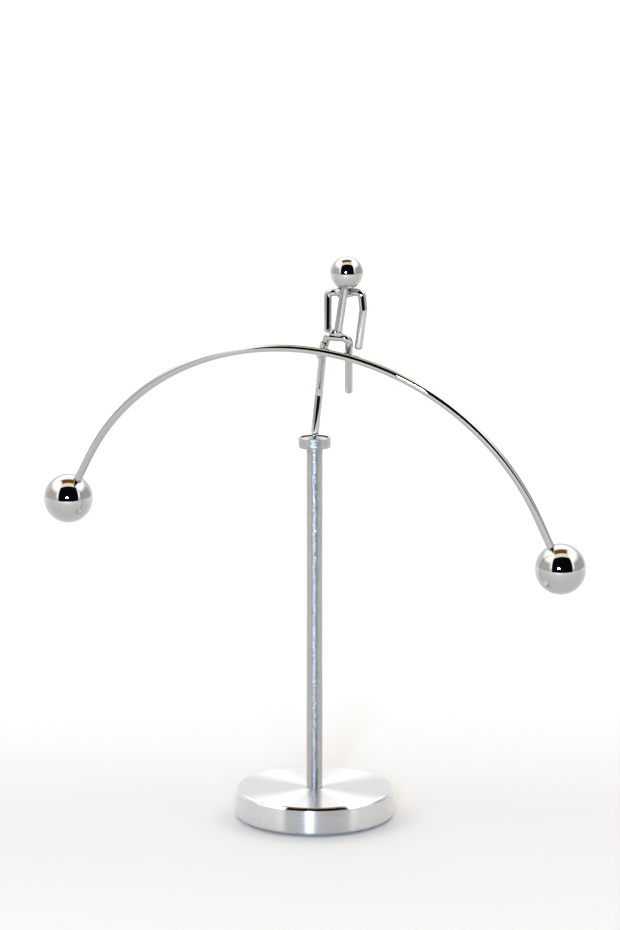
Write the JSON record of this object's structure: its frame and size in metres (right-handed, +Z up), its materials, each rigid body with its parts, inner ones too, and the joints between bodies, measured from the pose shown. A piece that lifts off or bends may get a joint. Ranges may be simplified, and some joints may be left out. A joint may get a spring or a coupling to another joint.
{
  "type": "counterweight balancing toy",
  "caption": "Wire figure on one foot atop a post, with a long arched wire and a ball at each end as counterweights, so it rocks, turns and rights itself.",
  "frame": {"origin": "middle of the pad's underside, on the surface that the toy stands on, below the post's axis", "axes": "+Z up along the post; +X towards the right-hand weight at rest, as seen from the front; the figure faces -Y"},
  "size_m": [0.2126, 0.06, 0.2151],
  "materials": {
    "turned_aluminium": "satin",
    "satin_aluminium": "satin",
    "chrome_plate": "polished",
    "chrome_braze": "gloss",
    "steel": "satin",
    "pad": "matte"
  },
  "bodies": {
    "stand": {"base_disc": "turned_aluminium", "base_pad": "pad", "post": "satin_aluminium", "post_screw": "steel", "screw_washer": "steel", "collar": "satin_aluminium"},
    "seat": {"pivot_seat": "steel"},
    "foot": {"foot_point": "chrome_plate"},
    "figure": {"legs": "chrome_plate", "torso": "chrome_plate", "arms": "chrome_plate", "head": "chrome_plate", "balance_arc": "chrome_plate", "left_weight": "chrome_plate", "right_weight": "chrome_plate", "arc_braze": "chrome_braze", "hip_braze": "chrome_braze", "shoulder_braze": "chrome_braze", "neck_braze": "chrome_braze"}
  },
  "joints": [
    {"name": "figure_spin", "type": "hinge", "parent": "stand", "child": "seat", "pos_m": [0, 0, 0.1463], "axis": [0, 0, 1], "continuous": true},
    {"name": "front_back_rock", "type": "hinge", "parent": "seat", "child": "foot", "pos_m": [0, 0, 0.1463], "axis": [1, 0, 0], "range_deg": [-20, 20]},
    {"name": "side_rock", "type": "hinge", "parent": "foot", "child": "figure", "pos_m": [0, 0, 0.1463], "axis": [0, 1, 0], "range_deg": [-25, 25]}
  ]
}
